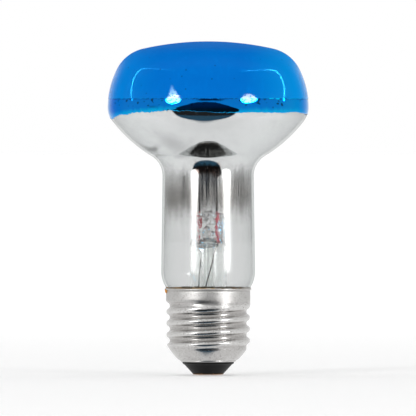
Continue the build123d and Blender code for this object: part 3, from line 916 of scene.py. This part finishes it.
def make_stem():
    """The press from its top down, the tube and flare outside, the tube inside, and the blow channel."""
    eighth = 90 / 8
    rows = [pole(z_press_top)]
    for share in (0.25, 0.5, 0.75):
        wide, deep = press_wide - press_edge, press_deep - press_edge
        rows.append(oval(z_press_top, wide * share, deep * share, 3))
    for turn in np.radians(np.arange(0, 91, eighth)):
        inset = press_edge * (1 - sin(turn))
        z = z_press_top - press_edge + press_edge * cos(turn)
        rows.append(oval(z, press_wide - inset, press_deep - inset, PRESSED))
    for z in np.arange(z_press_top - press_edge - 0.18, z_press, -0.18):
        pinch = 0.25 * sin(pi * (z - z_press) / 7)
        rows.append(oval(z, press_wide + 0.3 * pinch, press_deep - pinch, PRESSED))
    for share in np.linspace(0, 1, 14):
        s = float(smooth(share, 0, 1))
        wide, deep = between(press_wide, tube_outer, s), between(press_deep, tube_outer, s)
        rows.append(oval(between(z_press, z_taper, share), wide, deep, between(PRESSED, ROUND, s)))
    tube_line = [(tube_outer, z) for z in np.arange(z_taper - 1.2, z_seal + flare_bend, -1.2)]
    tube_line += arc(flare_radius, z_seal + flare_bend, flare_bend, np.arange(-90, 1, eighth))
    for r, drop in ((10.6, 0), (10.95, 0.2), (neck_end_radius, 0.5), (10.95, 0.8), (10.6, 1)):
        tube_line.append((r, z_seal - drop))
    inner_bend = flare_bend + tube_outer - tube_inner
    tube_line += arc(flare_radius, z_seal + flare_bend, inner_bend, np.arange(0, -91, -eighth))
    tube_line += [(tube_inner, z) for z in np.arange(z_seal + 5, z_taper, 1.5)]
    rows += [oval(z, r, r, ROUND) for r, z in tube_line]
    for share in np.linspace(0, 1, 8):
        s = float(smooth(share, 0, 1))
        wide, deep = tube_inner - 0.3 * s, tube_inner - 2.8 * s
        rows.append(oval(z_taper + share * 2.2, wide, deep, ROUND + 1.2 * s))
    for share, up in ((0.92, 2.35), (0.75, 2.48), (0.5, 2.55), (0.25, 2.58)):
        rows.append(oval(z_taper + up, 4.5 * share, 2 * share, 3))
    rows.append(pole(z_taper + 2.6))
    points, faces = skin([row + press_marks(row)[:, None] * THROUGH for row in rows])
    channel = [(0, 3.1), (0.8, 3.15), (1.3, 3.35), (1.5, 3.8), (1.5, 6.115), (1.4, 6.615), (1.1, 7.015)]
    channel += [(0.6, 7.265), (0, 7.365)]
    more, extra = lathe([(r, z_taper + up) for r, up in channel], 64)
    start = len(points)
    faces += [tuple(i + start for i in face) for face in extra]
    mesh_piece("stem_pressed", (points + more, faces), tube_glass, "stem_glass", "stem")


def make_exhaust():
    """The thin tube down the stem's middle, with a rounded and sealed lower end."""
    middle = z_exhaust + exhaust_outer
    wall = exhaust_outer - exhaust_bore
    line = [(0, z_exhaust)]
    line += arc(0, middle, exhaust_outer, np.arange(10, 91, 10))
    line += [(exhaust_outer, z) for z in np.arange(17.5, z_taper + 2.4, 2)]
    line += [(exhaust_outer, z_taper + 2.75), (exhaust_outer - 0.1, z_taper + 2.85)]
    line += [(exhaust_bore + 0.1, z_taper + 2.85), (exhaust_bore, z_taper + 2.75)]
    line += [(exhaust_bore, z) for z in np.arange(z_taper + 2, 16, -2)]
    line += arc(0, middle, exhaust_bore, np.arange(90, 9, -10))
    line.append((0, z_exhaust + wall))
    mesh_piece("exhaust_tube_drawn", lathe(line[::-1], 96), tube_glass, "stem_glass", "exhaust_tube")


def make_rod():
    """The glass rod on top of the press, with a button at its end."""
    foot = ((0, -0.05), (1.5, -0.05), (1.35, 0.15), (1.15, 0.6))
    line = [(r, z_press_top + up) for r, up in foot]
    line += [(rod_radius, z) for z in np.arange(z_press_top + 1.2, z_button - 2.6, 1.5)]
    line.append((rod_radius + 0.02, z_button - 2.3))
    line += arc(0, z_button, button_radius, np.append(np.arange(35, 179, 12.08), 180))
    mesh_piece("support_rod_drawn", lathe(line[::-1], 64), tube_glass, "stem_glass", "support_rod")


def stem_point(across, through, z):
    return ACROSS * across + THROUGH * through + UP * z


def round_point(degrees, z, radius):
    angle = radians(degrees)
    return np.array((radius * cos(angle), radius * sin(angle), z))


def make_lead(name, node, corners, steps, z_weld, weld_length, weld_swell):
    """A thin lead through the corners, with a weld bead where it meets its seal wire."""
    path = spline(corners, steps)
    radius = lead_radius + weld_swell * hump(path[:, 2], z_weld, weld_length)
    mesh_piece(name, tube(path, radius, 10), lead, "lead_metal", node)


def make_leads():
    """The two leads below the press: one runs down to the contact, and one out to the rim."""
    contact = [(-50, 40.2, 3.5), (-56, 39.2, 3.62), (-64, 37, 3.6), (-84, 32, 3.55), (-102, 27.4, 3.55)]
    contact += [(-102, 20, 3.55), (-102, 14, 3.4), (-102, 11, 1.6)]
    contact += [(0, z, 0) for z in (8.4, 5, 0.6)]
    contact = [round_point(*corner) for corner in contact]
    contact = [stem_point(3.3, 0, 41.75), stem_point(3.3, -0.1, 41), *contact]
    make_lead("outer_lead_contact_wire", "outer_lead_contact", contact, 14, 40.1, 0.45, 0.16)
    side = [(131, 40.5, 3.1), (119, 39.9, 3.6), (128, 39, 3.55), (122, 38.2, 3.6), (131, 36.5, 3.55)]
    side += [(143, 32, 3.55), (154, 27.4, 3.55), (176, 23.5, 3.7)]
    across = [(20.6, 3.95), (18.9, 4.6), (18.2, 8), (18.6, 10.9), (20.5, 11.6), (23.2, 11.9)]
    side += [(side_lead_angle, z, r) for z, r in (*across, (25, 12.7), (26.3, 12.7))]
    side = [round_point(*corner) for corner in side]
    side = [stem_point(-3.3, 0, 41.75), stem_point(-3.3, -0.15, 41.1), *side]
    make_lead("outer_lead_side_wire", "outer_lead_side", side, 12, 40.3, 0.4, 0.12)


def make_filament():
    """A close coil of fine wire on a horseshoe, held by its two leads."""
    start, sweep = radians(140), radians(260)
    coils, steps = 210, 12
    t = np.linspace(0, 1, coils * steps + 1)
    place = start + sweep * t
    wind = TURN * coils * t
    out = horseshoe_radius + coil_radius * np.cos(wind)
    across = (out * np.cos(place))[:, None] * ACROSS
    through = (out * np.sin(place))[:, None] * THROUGH
    path = across + through + (z_filament + coil_radius * np.sin(wind))[:, None] * UP
    mesh_piece("filament_coil", tube(path, filament_radius, 6), tungsten, "filament_metal", "filament")


make_bulb()
make_lacquer()
make_film()
make_shell()
make_insulator()
make_contact_plate()
make_contact_solder()
make_side_solder()
make_cement()
make_stem()
make_exhaust()
make_rod()
make_leads()
make_filament()

seal_wires = ("seal_wire_contact", "seal_wire_side")
inner_leads = ("inner_lead_contact", "inner_lead_side")
supports = ("support_wire_1", "support_wire_2", "support_wire_3")
for finish, names in ((copper, seal_wires), (lead, inner_leads), (lead, supports)):
    for name in names:
        for slot in nodes[name].material_slots:
            slot.material = finish


# Studio
def studio_world():
    """A pale tent all round, open and dark towards -Y, with a lamp box on each side of the opening."""
    world = bpy.data.worlds.new("studio")
    bpy.context.scene.world = world
    world.use_nodes = True
    g = Graph(world.node_tree)
    x, y, z = g.split(g.read("TexCoord", "Generated"))
    side = g.math("DEGREES", g.math("ARCSINE", x))
    pitch = g.math("DEGREES", g.math("ARCTAN2", z, -y))
    above = g.math("MAXIMUM", z, 0)
    # What a mirror sees, what satin metal sees, what lights the rest, and what a second reflection sees
    glossy = g.read("LightPath", "Is Glossy Ray")
    sharp = g.read("LightPath", "Is Singular Ray")
    satin = glossy - sharp
    plain = 1 - glossy
    again = g.math("GREATER_THAN", g.read("LightPath", "Glossy Depth"), 1.5)

    # The opening: an oval of directions that narrows downwards, black at the level and bluish below
    across = (side + 4) / (again * 100 + 39.4)
    lift = pitch + 13.5
    up = g.math("MAXIMUM", lift, 0) / 21
    down = g.math("MINIMUM", lift, 0) / (again * -12 - 64.3)
    opening = (across * across + up * up + down**1.35).fall(0.94, 1.06)
    beam = pitch.band(9, 12.5, 0.8) * side.band(-11, 16, 4)
    paled = (pitch.ease(-26, -4, 0, 0.32) + pitch.ease(0, 14, 0, 0.5)) * satin
    opening = g.math("MAXIMUM", opening, beam) * (1 - paled)
    deep = g.blend(pitch.ease(-10, 9), (0.016, 0.018, 0.02), (0.06, 0.07, 0.1))
    slate, dim = (0.031, 0.094, 0.155), (0.09, 0.088, 0.086)
    deep = g.paint(deep, (pitch.fall(-53, -45), slate), (again, dim))

    # The tent: darker overhead and inside its frame's arch, and brighter below in a mirror
    gap = y - (above**3 * -1.25 + 0.24)
    inside = gap.fall(-0.03, 0.03) * z.ease(0.2, 0.34) * (1 - satin)
    tent = z.ease(-0.6, 0.8, 1.06, 0.8) * (1 - inside * 0.6)
    tent = tent * (sharp * z.ease(-0.6, -0.15, 0.1, 0) + again * 0.6 + 1)
    rail = (x - (z * 0.47 - 0.07)).band(-0.016, 0.016, 0.014) * z.band(-0.6, -0.2, 0.1)
    rail = rail * y.ease(0.3, 0.6, 0, 0.55)
    patch = x.band(-0.5, -0.2, 0.18) * z.ease(-0.86, -0.66, 0.3, 0) * y.ease(0.1, 0.45)
    ground = z.ease(-1, -0.8, 0.08, 0)
    seam = side.band(-72, -62, 6) * pitch.band(-6, 5, 4)
    tent = tent * (1 - rail - patch - ground - seam * 0.4)

    # A bright line along the frame's arch on both sides
    hoop = z * 0.52 + x.ease(-0.2, 0.2, 0.1, 0.08)
    bend = above**6.5 * x.ease(-0.2, 0.2, -6.9, -8)
    arch = (y - (hoop + bend)).band(-0.016, 0.016, 0.014) * z.ease(0.1, 0.18)
    arch = arch * g.math("ABSOLUTE", x).ease(0.35, 0.75)
    tent = tent + arch * plain * 8
    arch = arch * sharp * x.ease(-0.3, 0.4, 210, 300)
    grey = g.read("CombineColor", 0, {"Red": tent, "Green": tent, "Blue": tent})

    # The lamp boxes: a hot oval each, and a dimmer cone over the left one
    def lamp_box(middle, level, half, tall, lean, satin_loss):
        along = side - middle
        wide = along / half
        high = (pitch - level - along * lean) / tall
        glow = (wide * wide + high * high).ease(0.6, 1.35, 22, 0)
        return glow * (sharp * 7.5 - satin * satin_loss + 1)

    lamps = lamp_box(-40, 14, 8.4, 7, 0, 0.65) + lamp_box(47.3, 16.5, 9, 7.6, 0.3, 0.3)
    reach = pitch.ease(14, 40, 7, 0.6) - g.math("ABSOLUTE", side + 40)
    cone = reach.ease(-1, 1.5) * pitch.ease(16, 40, 12, 2.5) * pitch.band(16, 39, 2)
    lamps = lamps + cone * plain
    cone = cone * sharp * 17

    white, cold, blue = (1, 1, 1, 1), (0.5, 0.85, 1, 1), (0.03, 0.55, 1, 1)
    light = g.shader("Background", Color=g.blend(opening, grey, deep), Strength=1)
    for colour, strength in ((white, lamps), (cold, cone), (blue, arch)):
        light = g.add(light, g.shader("Background", Color=colour, Strength=strength))
    backdrop = g.shader("Background", Color=white, Strength=1)
    g.surface(g.mix(g.read("LightPath", "Is Camera Ray"), light, backdrop), "OutputWorld")


def studio_strips():
    """Two upright strip lamps close to the neck, with grids that keep their light level."""
    low, high, away, front, wide = 0.002, 0.066, 0.030, 0.0144, 60
    for side, half, glow, below in ((-36, 15.5, 4.6, 0.02), (49.5, 17.5, 5.4, 0.035)):
        turn = radians(side)
        data = bpy.data.lights.new("strip", "AREA")
        data.shape = "RECTANGLE"
        data.size = 2 * away * tan(radians(wide) / 2)
        data.size_y = high - low
        data.energy = glow * data.size * data.size_y
        data.spread = radians(64)
        data.use_nodes = True
        g = Graph(data.node_tree)
        u, v = g.split(g.read("NewGeometry", "Parametric"))[:2]
        out = (u - 0.5) * copysign(wide, side)
        core = g.math("ABSOLUTE", out).fall(0, half)
        haze = out.ease(-2, 4) * out.ease(4, wide / 2, 0.07, 0)
        strength = (core + haze) * v.ease(0.38, 0.58, below, 1)
        g.surface(g.shader("Emission", Strength=strength), "OutputLight")
        lamp = placed("strip", data)
        x = front * sin(turn / 2) + away * sin(turn)
        y = -front * cos(turn / 2) - away * cos(turn)
        lamp.location = (x, y, (low + high) / 2)
        lamp.rotation_euler = (pi / 2, 0, turn)
        lamp.visible_camera = False


def floor_white(g):
    """Matt white that glows a little where it is seen, but lights nothing else by it."""
    seen = g.read("LightPath", "Is Camera Ray")
    for ray in ("Is Glossy Ray", "Is Transmission Ray"):
        seen = g.math("MAXIMUM", seen, g.read("LightPath", ray))
    x, y = g.split(g.place)[:2]
    matt = g.shader("BsdfDiffuse", Color=(0.75, 0.75, 0.75, 1))
    glow = g.shader("Emission", Strength=seen * g.length(x, y).ease(80, 800, 0.3, 0.38))
    g.surface(g.add(matt, glow))


def studio_floor():
    """A plain white floor that keeps the part's shadow."""
    half = 30
    corners = [(-half, -half, 0), (half, -half, 0), (half, half, 0), (-half, half, 0)]
    mesh = bpy.data.meshes.new("floor")
    mesh.from_pydata(corners, [], [(0, 1, 2, 3)])
    mesh.materials.append(material("floor_white", floor_white))
    floor = placed("floor", mesh)
    floor.visible_glossy = False


def studio_camera():
    """Square on to the part's -Y side, below its front and looking slightly down at its middle."""
    away, height, aim, field = 2.4, 0.075, 0.05255, 0.13074
    data = bpy.data.cameras.new("camera")
    data.sensor_width = 36
    data.lens = data.sensor_width * hypot(away, height - aim) / field
    data.clip_end = 200
    camera = placed("camera", data)
    camera.location = (-0.00005, -away, height)
    camera.rotation_euler = (pi / 2 - atan2(height - aim, away), 0, 0)
    bpy.context.scene.camera = camera


studio_world()
studio_strips()
studio_floor()
studio_camera()
bpy.context.scene.view_settings.view_transform = "Standard"
